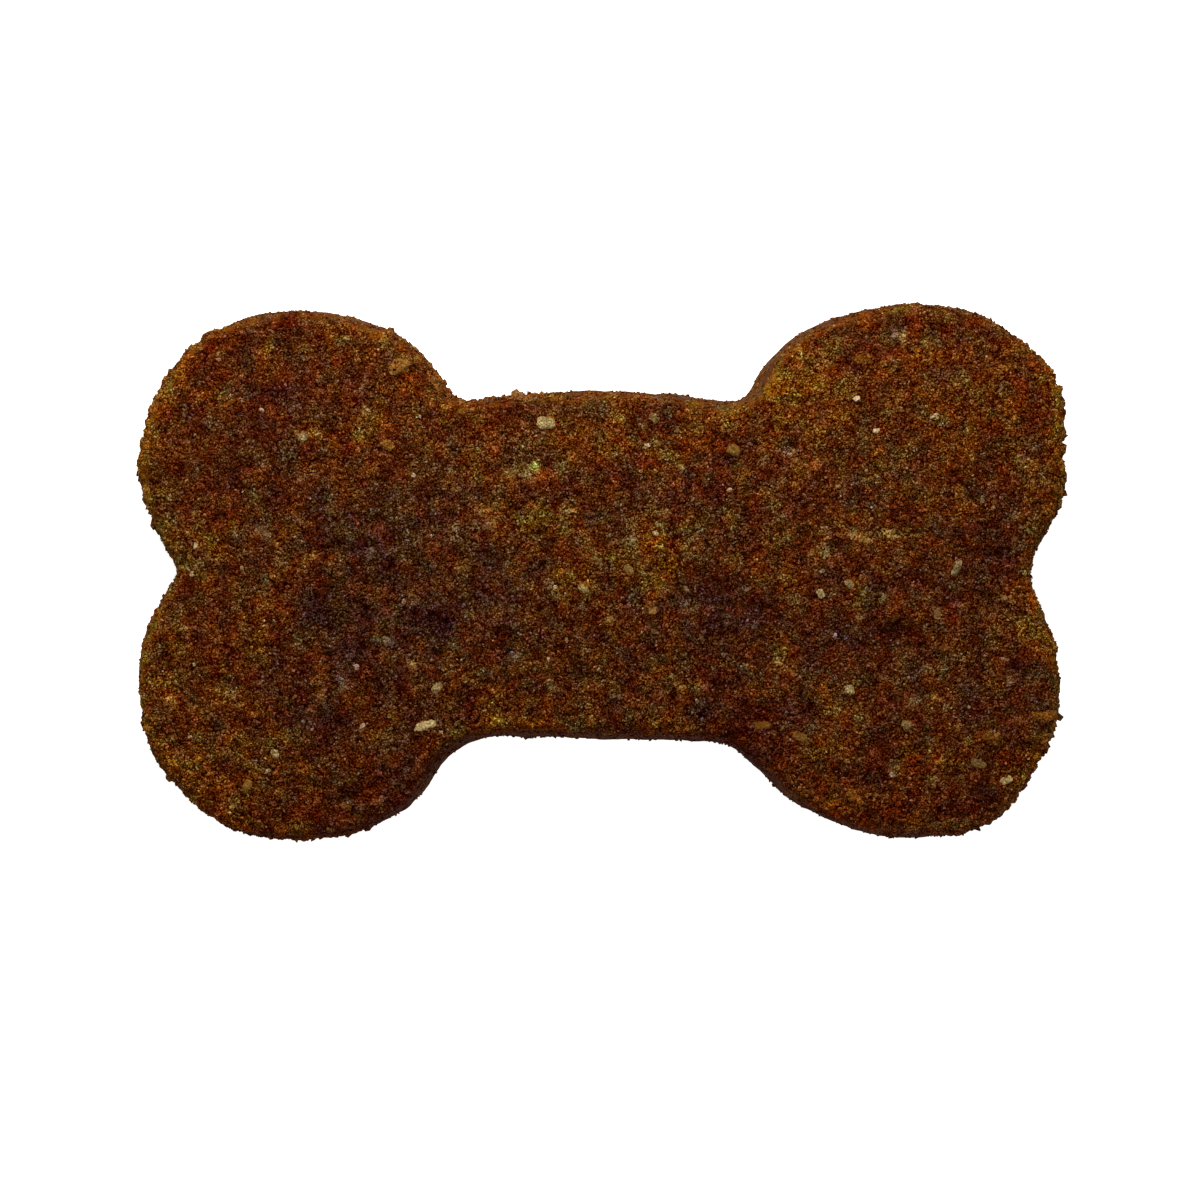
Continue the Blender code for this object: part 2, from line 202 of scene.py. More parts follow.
# Places of the top that are darker or lighter, more maroon or more olive than the rest:
# x, y and reach in mm, then steps of shade and steps of rust
shadePatches = (
    (-12.0, -0.6, 7.0, -0.7, -0.4),
    (-10.4, -3.0, 2.6, -3.1, -3.2),
    (-17.0, -2.4, 3.6, -1.8, -3.0),
    (-16.1, -4.7, 3.0, -3.0, -1.6),
    (-14.6, 1.5, 4.6, -0.3, -1.5),
    (-16.5, 2.9, 3.0, -0.9, -2.5),
    (-19.8, 15.3, 1.8, -2.6, 0.4),
    (-17.7, 11.6, 4.5, -1.4, -0.3),
    (-21.0, 6.2, 4.0, -1.6, -0.8),
    (-24.3, 7.8, 4.0, -1.5, 0.1),
    (-25.9, 1.4, 3.5, 2.1, -0.6),
    (-26.0, -6.0, 5.0, 1.5, 1.1),
    (-27.4, -9.6, 4.0, -0.4, 0.7),
    (-24.5, -13.8, 4.0, 1.6, 0.7),
    (-20.4, -11.4, 3.6, 1.4, -0.5),
    (-17.6, -9.6, 3.4, -1.9, -1.2),
    (-14.2, -14.9, 4.4, -2.4, -0.1),
    (-6.0, -1.6, 4.0, -1.2, -1.3),
    (-5.7, -8.9, 4.0, 2.4, 1.1),
    (-5.1, 6.4, 4.2, 0.2, -1.5),
    (-1.7, -0.5, 2.6, 2.1, -1.1),
    (1.0, 3.1, 3.0, -1.0, -1.6),
    (3.7, 0.8, 3.6, 2.2, -0.5),
    (7.0, -2.4, 3.4, -2.2, -1.4),
    (9.5, -2.8, 3.0, -2.0, -0.4),
    (9.3, -9.4, 4.6, -1.9, 1.0),
    (12.0, 13.1, 3.5, 1.5, -0.2),
    (14.5, -5.0, 3.0, -2.2, -0.6),
    (15.0, -7.2, 3.4, 1.3, 0.3),
    (17.4, 7.0, 5.0, 0.6, -0.9),
    (18.4, -3.8, 2.6, 0.1, 1.3),
    (20.2, -1.6, 3.0, -1.4, 0.4),
    (22.8, 9.9, 4.0, 0.9, -0.4),
    (24.2, 0.9, 3.4, -1.4, -0.5),
    (26.4, -2.9, 3.5, 1.8, 1.5),
    (19.5, -14.0, 5.4, 0.2, 0.5),
    (22.4, -13.7, 4.0, -1.2, 0.2),
    (14.1, -14.1, 4.0, -0.2, 0.3),
    (15.2, -10.2, 3.5, 0.0, 0.4),
    (-12.9, 3.6, 3.0, -1.3, -0.7),
    (-9.2, 2.7, 3.0, -0.8, -1.5),
    (26.9, -6.9, 3.5, -1.2, 0.3),
    (6.7, 1.8, 3.0, -0.5, -1.3),
    (-27.5, 5.9, 3.0, 0.9, 0.6),
    (-21.4, -4.1, 3.0, 1.4, 0.7),
    (10.0, 10.2, 4.0, 1.9, 0.4),
    (27.4, 11.3, 3.5, 0.4, 1.3),
    (-25.1, 13.1, 4.0, 0.0, 0.7),
    (22.4, 5.6, 3.5, 1.0, -0.5),
    (-9.2, 9.8, 4.0, 1.3, 0.3),
    (17.0, 9.9, 3.5, 0.7, 0.5),
    (18.5, -2.5, 1.6, 0.3, 1.6),
    (-21.2, 10.1, 3.0, -1.7, -0.3),
    (14.4, 0.8, 3.0, -0.6, -0.7),
    (-10.4, 6.2, 3.0, -0.1, -2.1),
    (-27.9, -9.4, 3.0, 1.2, 0.0),
    (-27.8, 5.2, 3.0, -0.3, 0.3),
    (26.5, -12.6, 3.0, 2.1, 0.2),
    (-22.5, -15.4, 3.0, 1.0, 0.1),
    (28.0, 8.0, 3.0, 0.4, 0.3),
    (-4.2, 3.0, 2.5, 2.1, -0.6),
    (-2.4, -9.0, 3.0, 0.6, 0.2),
    (10.5, 7.5, 3.0, -1.5, 0.1),
)

# How one step changes the colour: the log of red, green and blue. Lighter places are more golden and darker
# ones more maroon, rusty places have less green and blue than olive ones, and pale spots are straw-coloured
tintSteps = {
    "shade": (0.20, 0.31, 0.05),
    "rust": (0.07, -0.08, -0.26),
    "olive": (-0.10, 0.20, -0.12),
    "pale": (-0.04, 0.10, -0.45),
}


def shadeAt(x, y):
    # steps of shade and rust at a place
    start, span = topDrift["front"]
    forward = smoothstep((start - y / mm(1)) / span)
    start, span = topDrift["back"]
    backward = smoothstep((y / mm(1) - start) / span)
    shade, rust = (level + back * backward + front * forward
                   for level, back, front in (topDrift["shade"], topDrift["rust"]))
    for px, py, reach, shadeChange, rustChange in shadePatches:
        aside = math.hypot(x - mm(px), y - mm(py)) / mm(reach)
        if aside < 1:
            share = smoothstep(1 - aside)
            shade += shadeChange * share
            rust += rustChange * share
    return shade, rust


def tintOf(steps):
    return np.exp(sum(np.outer(steps[name], change) for name, change in tintSteps.items()))


def meshObject(name, mesh):
    thing = bpy.data.objects.new(name, mesh)
    scene.collection.objects.link(thing)
    return thing


def evenCopy(node, name):
    # the node's triangles are merged into one skin, then remeshed in even cells
    shape = bmesh.new()
    shape.from_mesh(node.data)
    bmesh.ops.remove_doubles(shape, verts=shape.verts, dist=mm(0.001))
    mesh = bpy.data.meshes.new(name)
    shape.to_mesh(mesh)
    shape.free()
    thing = meshObject(name, mesh)
    remesh = thing.modifiers.new("evenCells", "REMESH")
    remesh.mode = "VOXEL"
    remesh.voxel_size = dough["cell"]
    bpy.context.view_layer.update()
    evaluated = thing.evaluated_get(bpy.context.evaluated_depsgraph_get())
    thing.data = bpy.data.meshes.new_from_object(evaluated)
    thing.modifiers.clear()
    bpy.data.meshes.remove(mesh)
    thing.data.name = name
    return thing


def doughMove(place, normal):
    # how far a point of the remeshed skin moves along its normal
    height = place.z
    if height < dough["baseLevel"]:
        level, power = dough["pitShape"]
        pit = noise.noise(place / dough["basePits"][1]) - level
        grain = noise.noise(place / dough["baseGrain"][1])
        inward = dough["basePits"][0] * max(pit, 0) ** power + dough["baseGrain"][0] * max(grain, 0)
        return Vector((0, 0, inward))
    onTop = smoothstep(normal.z * 2)
    grit = dough["grit"][0] * noise.fractal(place / dough["grit"][1], *dough["gritOctaves"])
    near = noise.voronoi(place / dough["pebbles"][1])[0][0]
    pebbles = dough["pebbles"][0] * (dough["pebbleReach"] - near)
    swell = dough["swell"][0] * noise.noise(place / dough["swell"][1])
    depth, width, length = dough["dragMarks"]
    drag = -depth * noise.noise(Vector((place.x / width, place.y / width, height / length)))
    calm = smoothstep((height - dough["baseLevel"]) / dough["calmHeight"])
    everywhere, more = dough["gritShares"]
    move = (grit + pebbles) * (everywhere + more * onTop) + swell + drag * (1 - onTop)
    return normal * move * calm


def bakeDough():
    thing = evenCopy(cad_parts["dog_chew"], "baked_dough")
    shape = bmesh.new()
    shape.from_mesh(thing.data)
    upper = [v for v in shape.verts if v.co.z > dough["baseLevel"]]
    rounds, factor = dough["smoothing"]
    for _ in range(rounds):
        bmesh.ops.smooth_vert(
            shape, verts=upper, factor=factor, use_axis_x=True, use_axis_y=True, use_axis_z=True)
    shape.normal_update()
    moves = [doughMove(v.co, v.normal) for v in shape.verts]
    for vert, move in zip(shape.verts, moves):
        vert.co += move
        if vert.co.z < dough["baseLevel"] and move.z < dough["stillMove"]:
            vert.co.z = 0
    bmesh.ops.triangulate(shape, faces=shape.faces)
    shape.normal_update()
    shape.to_mesh(thing.data)
    shape.free()
    thing.data.shade_smooth()
    return thing


doughObject = bakeDough()
print("dough baked:", len(doughObject.data.polygons), "triangles")


def meshArrays(mesh):
    # a triangle mesh as arrays: points, normals, corners of each triangle and its area
    points = np.empty(len(mesh.vertices) * 3, np.float32)
    mesh.vertices.foreach_get("co", points)
    normals = np.empty(len(mesh.vertices) * 3, np.float32)
    mesh.vertex_normals.foreach_get("vector", normals)
    corners = np.empty(len(mesh.polygons) * 3, np.int32)
    mesh.loops.foreach_get("vertex_index", corners)
    areas = np.empty(len(mesh.polygons), np.float32)
    mesh.polygons.foreach_get("area", areas)
    return {
        "points": points.reshape(-1, 3).astype(float),
        "normals": normals.reshape(-1, 3).astype(float),
        "corners": corners.reshape(-1, 3),
        "areas": areas.astype(float),
    }


def addAttribute(mesh, name, values):
    # single numbers, or three for each point as a tint has
    values = np.asarray(values, np.float32)
    if values.ndim == 1:
        mesh.attributes.new(name, "FLOAT", "POINT").data.foreach_set("value", values)
    else:
        mesh.attributes.new(name, "FLOAT_VECTOR", "POINT").data.foreach_set("vector", values.ravel())


# Soft pale spots, where meal shows through the crumbs: x, y, length, width in mm, direction in degrees,
# and strength
paleSpots = (
    (18.8, 14.8, 1.10, 0.70, 8, 0.20),
    (2.6, 9.3, 0.65, 0.50, 106, 0.25),
    (11.7, 7.4, 1.00, 0.55, 24, 0.30),
    (13.4, 6.6, 0.38, 0.34, 0, 0.50),
    (15.7, 5.6, 0.60, 0.45, 124, 0.20),
    (5, 6.5, 0.50, 0.38, 18, 0.40),
    (4, 3.6, 0.65, 0.60, 0, 0.45),
    (6, 2.4, 0.85, 0.50, 53, 0.25),
    (1.8, 1.9, 0.70, 0.40, 8, 0.40),
    (11.6, 2.1, 0.45, 0.40, 0, 0.35),
    (13.8, 2.5, 0.50, 0.36, 18, 0.45),
    (14.1, 1.1, 0.90, 0.48, 75, 0.30),
    (14.1, 3.8, 0.45, 0.40, 0, 0.30),
    (15.7, 2.3, 0.80, 0.45, -40, 0.40),
    (16.5, 2, 0.85, 0.48, -9, 0.50),
    (18.2, 2.2, 0.90, 0.50, -10, 0.45),
    (14.5, -1.3, 0.85, 0.55, 26, 0.10),
    (16.1, -2.9, 0.50, 0.40, 139, 0.35),
    (17.6, -1.7, 0.50, 0.34, 66, 0.35),
    (22.4, -2.2, 0.85, 0.42, -13, 0.40),
    (24.7, 4.4, 0.40, 0.34, 44, 0.45),
    (25.9, 3.6, 0.65, 0.60, -24, 0.20),
    (26.3, 7.1, 0.70, 0.60, 56, 0.15),
    (20.3, -6.1, 0.70, 0.45, 41, 0.40),
    (17.7, -6.7, 0.42, 0.32, 23, 0.40),
    (25.7, -6.8, 0.60, 0.38, -5, 0.45),
    (20.8, -7.8, 0.55, 0.38, 58, 0.35),
    (19.5, -8.1, 1.00, 0.65, 38, 0.25),
    (22.3, -9.7, 0.42, 0.36, 0, 0.25),
    (12, -8.4, 0.95, 0.70, 134, 0.05),
    (11, -5.7, 0.60, 0.40, 137, 0.45),
    (9.5, -3.4, 0.45, 0.34, 111, 0.30),
    (8.9, -6, 0.42, 0.28, 7, 0.45),
    (6.2, -7.3, 0.90, 0.42, 11, 0.10),
    (5, -7.2, 0.50, 0.42, 0, 0.20),
    (18.3, -12.2, 0.55, 0.40, 0, 0.35),
    (20.9, -13.1, 0.65, 0.40, -11, 0.15),
    (21.2, -11.8, 0.80, 0.40, 24, 0.25),
    (-3.3, -0.7, 0.50, 0.42, 0, 0.45),
    (-5.5, -5.3, 0.80, 0.45, 28, 0.35),
    (-3.2, -7.1, 0.75, 0.50, 125, 0.35),
    (-6.4, -9.3, 0.75, 0.36, 10, 0.40),
    (-7.1, -3.9, 0.50, 0.34, 74, 0.50),
    (-8.3, -2.7, 0.75, 0.50, 161, 0.25),
    (-11.8, -5.9, 0.50, 0.40, 129, 0.30),
    (-13.5, -4.3, 0.85, 0.50, 172, 0.50),
    (-16.2, -7, 0.80, 0.58, 100, 0.25),
    (-17.7, -7.8, 1.05, 0.60, 31, 0.05),
    (-14.1, -14.4, 0.80, 0.40, 12, 0.35),
    (-27.1, -7.9, 0.65, 0.38, 153, 0.45),
    (-21.4, -2.3, 0.62, 0.40, 140, 0.25),
    (-21.2, 2.4, 1.25, 0.60, 136, 0.10),
    (-25.6, 3.7, 0.40, 0.34, 165, 0.50),
    (-17.9, 1, 0.50, 0.36, 150, 0.40),
    (-14.4, 1.2, 0.90, 0.52, 55, 0.15),
    (-10.3, 1.7, 0.42, 0.38, 45, 0.30),
    (-6, 0.4, 0.48, 0.38, 108, 0.45),
    (-7.1, 2.9, 1.15, 0.70, 14, 0.30),
    (-7.4, 3.7, 0.80, 0.45, 20, 0.35),
    (-2, 3.8, 0.55, 0.45, 8, 0.35),
    (-4.7, 5.9, 0.75, 0.58, 166, 0.50),
    (-5.7, 6.2, 0.80, 0.48, 6, 0.45),
    (-4.1, 6.5, 0.85, 0.45, 110, 0.40),
    (-9.4, 6.3, 0.62, 0.52, 56, 0.25),
    (-18.9, 5.7, 0.55, 0.36, 51, 0.50),
    (-14.8, 10.1, 0.70, 0.46, 109, 0.50),
    (-15.2, 11.2, 0.52, 0.45, 10, 0.45),
)


paleLook = {"least": 0.6, "reach": 1.25, "falloff": 1.5}


def palenessAt(x, y):
    paleness = 0.0
    for px, py, length, width, turn, strength in paleSpots:
        aside = Vector((x / mm(1) - px, y / mm(1) - py))
        if abs(aside.x) > length or abs(aside.y) > length:
            continue
        aside.rotate(Matrix.Rotation(-math.radians(turn), 2))
        off = math.hypot(aside.x / length, aside.y / width) * paleLook["falloff"]
        paleness = max(paleness, (paleLook["least"] + strength) * smoothstep(paleLook["reach"] - off))
    return paleness


# Stretches of the rim, as centre x, y in mm, and from where to where in degrees: those that the cutter left
# torn and crumbly, and those that are bare, smooth and browned. Elsewhere crumbs reach the edge
tornRim = (
    (19.9, 7.45, -25, 50),
    (-19.25, 6.75, 15, 62),
    (-19.25, 6.75, 120, 205),
    (-19.25, -7.0, 192, 222),
    (-19.25, -7.0, 268, 300),
    (19.55, -7.4, -75, -5),
    (-6.5, 0.0, 70, 112),
)
bareRim = (
    (-19.25, 6.75, 62, 215),
    (-19.25, -7.0, 145, 195),
    (19.9, 7.45, 85, 185),
)


rimLook = {
    "lobeCore": mm(8),              # nearer than this to a lobe's middle, nothing is rim
    "tornFade": 6, "bareFade": 14,  # degrees
    "bareShares": (0.10, 0.75),     # everywhere, and more along the bare stretches
    "wallBand": mm(3, 5.5), "wallTilt": 0.35, "reach": mm(1.2),
    "ends": mm(16, 7),              # how far out the two ends start, and over how much
    "paintedRimLight": (1.5, 1.7, 0.3),        # steps of painted light near a rim that faces an end, the front or the back
    "steep": (0.6, 1.4, 0.7),       # steps of painted shade on its steep edge, in the same order
    "steepEndsPaintedLight": 2.8,               # steps of painted light there at the two ends
    "steepWall": 0.8,               # share of the wall that isn't taken for the steep edge
    # how much less rusty and more olive a steep edge gets along with its painted light and shade
    "steepDull": 0.6, "steepOlive": 0.2,
}


def rimShare(points, stretches, fade):
    # 1 inside any of the stretches, fading out over some degrees towards their ends
    share = np.zeros(len(points))
    for x, y, first, last in stretches:
        aside = points[:, :2] - np.array(mm(x, y))
        turn = np.degrees(np.arctan2(aside[:, 1], aside[:, 0]))
        middle, half = (first + last) / 2, (last - first) / 2
        off = np.abs((turn - middle + 180) % 360 - 180)
        outside = np.hypot(aside[:, 0], aside[:, 1]) > rimLook["lobeCore"]
        share = np.maximum(share, np.clip((half - off) / fade, 0, 1) * outside)
    return share


def nearRim(skin):
    # how near each point is to the rim, seen from above, and the way that the wall faces there
    points, normals = skin["points"], skin["normals"]
    low, high = rimLook["wallBand"]
    onWall = (np.abs(normals[:, 2]) < rimLook["wallTilt"]) & (points[:, 2] > low) & (points[:, 2] < high)
    tree = KDTree(int(onWall.sum()))
    for index in np.flatnonzero(onWall):
        tree.insert((*points[index, :2], 0), index)
    tree.balance()
    found = [tree.find((x, y, 0)) for x, y, _ in points]
    nearness = np.clip(1 - np.array([distance for _, _, distance in found]) / rimLook["reach"], 0, 1)
    return nearness, normals[[index for _, index, _ in found]]


# Fields that both the dough and its crumbs follow: how the crumbs cluster, and how light and rusty a place is
fieldNoise = {
    # span, shift of the pattern and whether it has octaves
    "cluster": (mm(3.4), (7.3, 1.9, 4.1), True),
    "knot": (mm(1.3), (3.1, 8.7, 0.6), False),
    "clump": (mm(0.55), (1.4, 6.2, 3.3), False),
    "rust": (mm(1.1), (5.7, 2.3, 9.1), True),
    "olive": (mm(0.45), (8.8, 4.4, 2.7), False),
}
fieldLook = {
    "octaves": (0.9, 2.0, 2), "streakSpan": mm(3.5), "streakHeight": mm(1.1),
    "clusterShade": 1.5, "knotShade": 2.4, "clumpShade": 1.8, "clumpTone": 0.10, "paleTone": 0.42,
    "rustSwing": 4.2, "oliveSwing": 1.1, "lighterRust": -0.25, "dullOlive": 0.3,
    # the wall's two darkening steps are painted shade, the second only on walls that face the front
    "wallStreaks": 1.4, "wallPaintedShade": 0.3, "frontWallPaintedShade": 2.2,
    "plainShares": (0.2, 0.8),      # of the mottling: everywhere, and more on the top
    "shadeRoom": (0.7, 0.9),        # how light a place may get: everywhere, and more on the top
    "oliveLimit": (0.8, 0.7),       # steps away from rusty: freely to the first, then by the second at most
}
# Where the parts of the skin start, by the upward share of its normal, and over how much they fade in
partSlopes = {"top": (0.55, 0.30), "edge": (0.10, 0.25), "wall": (-0.45, 0.25), "mottled": (0.05, 0.50)}
shoulderSlope = (0.55, 0.38)        # middle and half width
tornHeight = mm(1.0, 3.0)


def softLimit(values, knee, room):
    # values beyond the knee are bent so that they never pass it by more than the room
    return np.where(values > knee, knee + room * np.tanh((values - knee) / room), values)


def fadeIn(values, start, span):
    return np.clip((values - start) / span, 0, 1)


def pointFields(points):
    # what is worked out point by point
    look = fieldLook
    fields = {name: [] for name in (*fieldNoise, "streak", "level", "pale")}
    for x, y, z in points:
        place = Vector((x, y, z))
        for name, (span, shift, layered) in fieldNoise.items():
            spot = place / span + Vector(shift)
            fields[name].append(noise.fractal(spot, *look["octaves"]) if layered else noise.noise(spot))
        streaky = Vector((x / look["streakSpan"], y / look["streakSpan"], z / look["streakHeight"]))
        fields["streak"].append(noise.noise(streaky))
        fields["level"].append(shadeAt(x, y))
        fields["pale"].append(palenessAt(x, y) if z > dough["wallTop"] else 0.0)
    return {name: np.array(values) for name, values in fields.items()}


def surfaceFields(skin):
    look, rim = fieldLook, rimLook
    points, up, height = skin["points"], skin["normals"][:, 2], skin["points"][:, 2]
    fields = pointFields(points)
    above = (height > dough["wallTop"]).astype(float)
    fields["top"] = fadeIn(up, *partSlopes["top"])
    fields["torn"] = rimShare(points, tornRim, rim["tornFade"]) * fadeIn(height, *tornHeight)
    everywhere, more = rim["bareShares"]
    fields["bare"] = everywhere + more * rimShare(points, bareRim, rim["bareFade"])
    middle, half = shoulderSlope
    fields["shoulder"] = np.clip(1 - np.abs(up - middle) / half, 0, 1) * above * fields["bare"]
    fields["edge"] = fadeIn(up, *partSlopes["edge"]) * above * (1 - fields["top"])
    fields["wall"] = fadeIn(-np.abs(up), *partSlopes["wall"]) * (height > dough["baseLevel"])
    fields["brow"] = fields["wall"] * np.clip(-skin["normals"][:, 1], 0, 1) * above
    fields["base"] = (height < dough["baseLevel"]).astype(float)
    # painted light near the rim, above all at the two ends, and painted shade on its steep edge, which is
    # more olive
    near, facing = nearRim(skin)
    sideward, backward = np.abs(facing[:, 0]), facing[:, 1]
    forward = np.clip(-backward, 0, 1)
    backward = np.clip(backward, 0, 1)
    outer = fadeIn(np.abs(points[:, 0]), *rim["ends"])
    side, front, back = rim["paintedRimLight"]
    paintedRimLight = near * (side * outer * sideward ** 2 + front * forward ** 2 + back * backward ** 2)
    steep = (1 - fields["top"]) * (height > dough["baseLevel"]) * (1 - rim["steepWall"] * fields["wall"])
    side, front, back = rim["steep"]
    steepPaintedShade = (rim["steepEndsPaintedLight"] * outer - side) * sideward ** 2
    steepPaintedShade -= front * forward ** 2 + back * backward ** 2
    # the wall and the underside are plainer than the top
    everywhere, more = look["plainShares"]
    plain = everywhere + more * fadeIn(up, *partSlopes["mottled"])
    level = fields.pop("level")
    ripple = look["knotShade"] * fields["knot"] + look["clumpShade"] * fields["clump"]
    shade = plain * (level[:, 0] + look["clusterShade"] * fields["cluster"] + ripple + paintedRimLight)
    shade += steep * steepPaintedShade
    streaks = look["wallStreaks"] * fields.pop("streak")
    # painted shade on the wall, more where it faces the front, laid over its streaks
    shade += fields["wall"] * (streaks - look["wallPaintedShade"] - look["frontWallPaintedShade"] * forward)
    rust = plain * (level[:, 1] + look["rustSwing"] * fields["rust"] + look["lighterRust"] * ripple)
    # painted shade on a steep edge is rustier where it faces the front, and less rusty at the back
    rust += steep * (forward - rim["steepDull"] * backward)
    everywhere, more = look["shadeRoom"]
    room = everywhere + more * fields["top"]
    fields["shade"] = softLimit(shade, room, room)
    fields["rust"] = -softLimit(-rust, *look["oliveLimit"])
    darkAndDull = np.clip(-fields["rust"], 0, 1) * np.clip(-fields["shade"], 0, 1)
    fields["olive"] = look["oliveSwing"] * plain * fields["olive"] + look["dullOlive"] * darkAndDull
    # a steep edge that faces the back or an end is more olive, along with its painted light and shade
    fields["olive"] += rim["steepOlive"] * steep * (backward + sideward ** 2)
    fields["toneShift"] = look["clumpTone"] * fields["clump"] + look["paleTone"] * fields["pale"]
    return fields


skin = meshArrays(doughObject.data)
fields = surfaceFields(skin)
for name in ("shoulder", "wall", "base", "toneShift"):
    addAttribute(doughObject.data, name, fields[name])
addAttribute(doughObject.data, "tint", tintOf(fields))
print("surface fields worked out")


# Crumbs: each kind is one mesh of thousands of uneven grains, sunk into the dough where they lie

def ballShape(subdivisions):
    # a ball of a few triangles, or at 0 a chip of only ten
    shape = bmesh.new()
    if subdivisions == 0:
        bmesh.ops.create_uvsphere(shape, u_segments=5, v_segments=2, radius=0.5)
    else:
        bmesh.ops.create_icosphere(shape, subdivisions=subdivisions, radius=0.5)
    points = np.array([v.co[:] for v in shape.verts])
    faces = np.array([[v.index for v in face.verts] for face in shape.faces])
    shape.free()
    return points, faces


scatterLook = {
    "tries": 3,                     # spots drawn for each grain, before those too close together go
    "gridAxis": (0.3, 0.2, 1.0),    # about which each kind's grid is turned
    "sizeSpread": (0.85, 1.10),
    "clusterDrift": 1.6, "knotDrift": 0.9, "sharpness": 3.2,
    "brow": 0.6,                    # share of the top's crumbs at the upper edge of the front wall
}


def scatterSpots(weights, count, spacing, turn, rng):
    # spots on the dough by weight for each triangle, no two in the same cell of a turned grid
    chance = weights * skin["areas"]
    picks = rng.choice(len(chance), size=count * scatterLook["tries"], p=chance / chance.sum())
    shares = rng.random((len(picks), 2))
    fold = shares.sum(axis=1) > 1
    shares[fold] = 1 - shares[fold]
    shares = np.column_stack((shares, 1 - shares.sum(axis=1)))
    corners = skin["corners"][picks]
    spots = np.einsum("ij,ijk->ik", shares, skin["points"][corners])
    grid = np.array(Matrix.Rotation(turn, 3, scatterLook["gridAxis"]))
    cells = np.floor(spots @ grid / spacing).astype(np.int64)
    keep = np.sort(np.unique(cells, axis=0, return_index=True)[1])
    keep = rng.permutation(keep)[:count]
    normals = np.einsum("ij,ijk->ik", shares, skin["normals"][corners])[keep]
    normals /= np.linalg.norm(normals, axis=1, keepdims=True)
    carried = {name: np.einsum("ij,ij->i", shares, values[corners])[keep] for name, values in fields.items()}
    return spots[keep], normals, carried


def grainMesh(name, spots, normals, look, rng):
    # every grain at once: a jittered ball, stretched, turned about the surface's normal and sunk
    ball, faces = ballShape(look["fineness"])
    count = len(spots)
    sizes = rng.uniform(*mm(*look["size"]), count) * rng.uniform(*scatterLook["sizeSpread"], count)
    widths = sizes * rng.uniform(*look["slimness"], count)
    heights = np.minimum(sizes, widths) * rng.uniform(*look["flatness"], count)
    points = ball[None] * rng.uniform(1 - look["unevenness"], 1 + look["unevenness"], (count, len(ball), 1))
    points = points * np.stack((sizes, widths, heights), axis=1)[:, None]
    facing = normals + rng.normal(0, look["tilt"], (count, 3))
    facing /= np.linalg.norm(facing, axis=1, keepdims=True)
    side = np.cross(facing, rng.normal(0, 1, (count, 3)))
    side /= np.linalg.norm(side, axis=1, keepdims=True)
    across = np.cross(facing, side)
    turned = points[..., 0:1] * side[:, None] + points[..., 1:2] * across[:, None]
    turned += points[..., 2:3] * facing[:, None]
    lift = heights * (0.5 - look["sunk"])
    turned += (spots + normals * lift[:, None])[:, None]
    mesh = bpy.data.meshes.new(name)
    corners = (faces[None] + (np.arange(count) * len(ball))[:, None, None]).reshape(-1, 3)
    mesh.from_pydata(turned.reshape(-1, 3), [], corners)
    mesh.shade_flat()
    return mesh, len(ball)


# Sizes are in mm. Slimness and flatness are the ranges of width to length and of height to width, and sunk is
# the share of a grain in the dough. Each last line says how thickly the parts of the skin are strewn
crumbKinds = {
    "coarse_crumbs": {
        "count": 9900, "fineness": 1, "size": (0.24, 0.46), "slimness": (0.45, 1.0), "flatness": (0.5, 0.9),
        "sunk": 0.52, "unevenness": 0.34, "tilt": 0.4, "spacing": mm(0.22), "seed": 21, "tone": (0.33, 0.08),
        "clusterPull": 0.5, "top": 1.0, "shoulder": 0.12, "wall": 0.0, "torn": 0.9,
    },
    "rusty_crumbs": {
        "count": 19000, "fineness": 0, "size": (0.20, 0.38), "slimness": (0.45, 1.0), "flatness": (0.6, 1.0),
        "sunk": 0.46, "unevenness": 0.32, "tilt": 0.4, "spacing": mm(0.15), "seed": 22, "tone": (0.28, 0.09),
        "clusterPull": 0.6, "top": 1.0, "shoulder": 0.12, "wall": 0.05, "torn": 0.8,
    },
    "fine_crumbs": {
        "count": 19000, "fineness": 0, "size": (0.14, 0.28), "slimness": (0.5, 1.0), "flatness": (0.6, 1.0),
        "sunk": 0.40, "unevenness": 0.30, "tilt": 0.4, "spacing": mm(0.13), "seed": 23, "tone": (0.35, 0.11),
        "clusterPull": -0.3, "top": 1.0, "shoulder": 0.3, "wall": 0.10, "torn": 0.5,
    },
    "rim_crumbs": {
        "count": 620, "fineness": 1, "size": (0.40, 0.85), "slimness": (0.5, 1.0), "flatness": (0.5, 0.9),
        "sunk": 0.46, "unevenness": 0.38, "tilt": 0.5, "spacing": mm(0.35), "seed": 25, "tone": (0.32, 0.07),
        "clusterPull": 0.0, "top": 0.0, "shoulder": 0.0, "wall": 0.0, "torn": 1.0,
    },
    "pale_specks": {
        "count": 1500, "fineness": 0, "size": (0.10, 0.22), "slimness": (0.6, 1.0), "flatness": (0.5, 0.9),
        "sunk": 0.28, "unevenness": 0.25, "tilt": 0.3, "spacing": mm(0.30), "seed": 24, "tone": (0.55, 0.18),
        "clusterPull": -0.2, "top": 1.0, "shoulder": 0.3, "wall": 0.0, "torn": 0.3,
    },
}


def crumbWeights(look):
    drift = fields["cluster"] * scatterLook["clusterDrift"] + fields["knot"] * scatterLook["knotDrift"]
    pull = 1 / (1 + np.exp(-scatterLook["sharpness"] * look["clusterPull"] * drift))
    wall = look["wall"] + (look["torn"] - look["wall"]) * fields["torn"]
    place = look["top"] * (fields["top"] + fields["edge"] * (1 - (1 - look["shoulder"]) * fields["bare"]))
    place = np.maximum(place, scatterLook["brow"] * look["top"] * fields["brow"])
    place = np.maximum(place, wall * fields["wall"])
    place = np.maximum(place, look["torn"] * fields["torn"] * (1 - fields["top"]) * (1 - fields["base"]))
    weights = pull * place * (skin["points"][:, 2] > dough["crumbLevel"])
    return weights[skin["corners"]].mean(axis=1)


